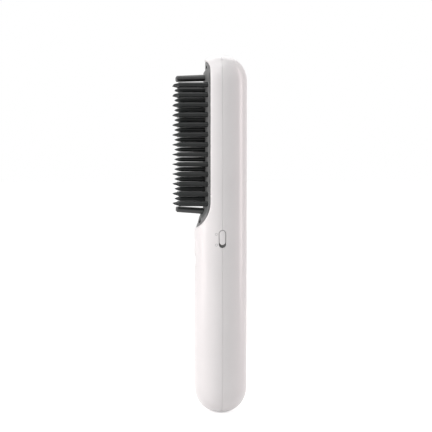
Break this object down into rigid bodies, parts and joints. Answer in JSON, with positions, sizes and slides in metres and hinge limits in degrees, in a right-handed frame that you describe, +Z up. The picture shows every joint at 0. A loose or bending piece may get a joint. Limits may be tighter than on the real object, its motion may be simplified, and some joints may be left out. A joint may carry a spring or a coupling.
{
  "type": "hot comb",
  "caption": "Cordless heated comb: a capsule-shaped white body with a dark block of pointed teeth set in its flat front, a side slide switch and a front push button",
  "frame": {"origin": "On the body axis at the lower end of the handle, in the mouth of the charging socket", "axes": "+Z runs up the body from the charging end to the rounded head, -X is the side of the teeth and the push button, -Y is the side of the slide switch"},
  "size_m": [0.0455, 0.0324, 0.2199],
  "materials": {
    "shell": "satin white moulded plastic with a faint pink tint",
    "button": "satin white moulded plastic",
    "cover": "dark grey heat-resistant plastic, finely textured",
    "teeth": "near-black heat-resistant nylon, slightly glossy",
    "teeth_metal": "dark grey ceramic coating over aluminium",
    "aluminium": "machined die-cast aluminium",
    "screw": "plain steel",
    "dark_screw": "blackened steel",
    "shutter": "grey plastic",
    "tin": "tin or nickel plated steel",
    "ceramic": "fired ceramic or mica",
    "frame_plastic": "glass-filled plastic",
    "cell": "heat-shrunk plastic sleeve over a steel can",
    "board": "green coated circuit board",
    "chip": "black moulded plastic",
    "socket_plastic": "cream nylon",
    "lead": "silicone insulated stranded wire"
  },
  "bodies": {
    "body": {"front_shell": "shell", "rear_shell": "shell", "comb_cover": "cover", "cover_screws": "dark_screw", "guard_teeth": "teeth", "tooth_column_1": "teeth_metal", "tooth_column_2": "teeth_metal", "tooth_column_3": "teeth_metal", "tooth_column_4": "teeth_metal", "tooth_column_5": "teeth_metal", "tooth_caps_1": "teeth", "tooth_caps_2": "teeth", "tooth_caps_3": "teeth", "tooth_caps_4": "teeth", "tooth_caps_5": "teeth", "heat_plate": "aluminium", "heater_element": "ceramic", "mica_sheet": "ceramic", "pressure_plate": "screw", "thermistor": "ceramic", "thermal_fuse": "tin", "head_frame": "frame_plastic", "frame_screws": "screw", "chassis": "frame_plastic", "chassis_screws": "screw", "battery_cell": "cell", "battery_tabs": "tin", "main_board": "board", "board_screws": "screw", "control_chip": "chip", "power_transistors": "chip", "inductor": "chip", "capacitors": "ceramic", "wire_sockets": "socket_plastic", "tact_switch": "chip", "slide_switch": "tin", "switch_board": "board", "charge_socket": "tin", "charge_tongue": "chip", "charge_board": "board", "charge_chip": "chip", "battery_leads": "lead", "heater_leads": "lead", "sensor_leads": "lead", "charge_leads": "lead", "switch_leads": "lead"},
    "slider": {"slide_knob": "button", "slide_shutter": "shutter", "switch_lever": "chip"},
    "button": {"power_button": "button", "tact_plunger": "socket_plastic"}
  },
  "joints": [
    {"name": "switch_slide", "type": "slide", "parent": "body", "child": "slider", "axis": [0, 0, -1], "range_m": [0, 0.0016]},
    {"name": "button_press", "type": "slide", "parent": "body", "child": "button", "axis": [1, 0, 0], "range_m": [0, 0.0004], "stiffness_N_per_m": 400, "springref_m": -0.0005}
  ]
}
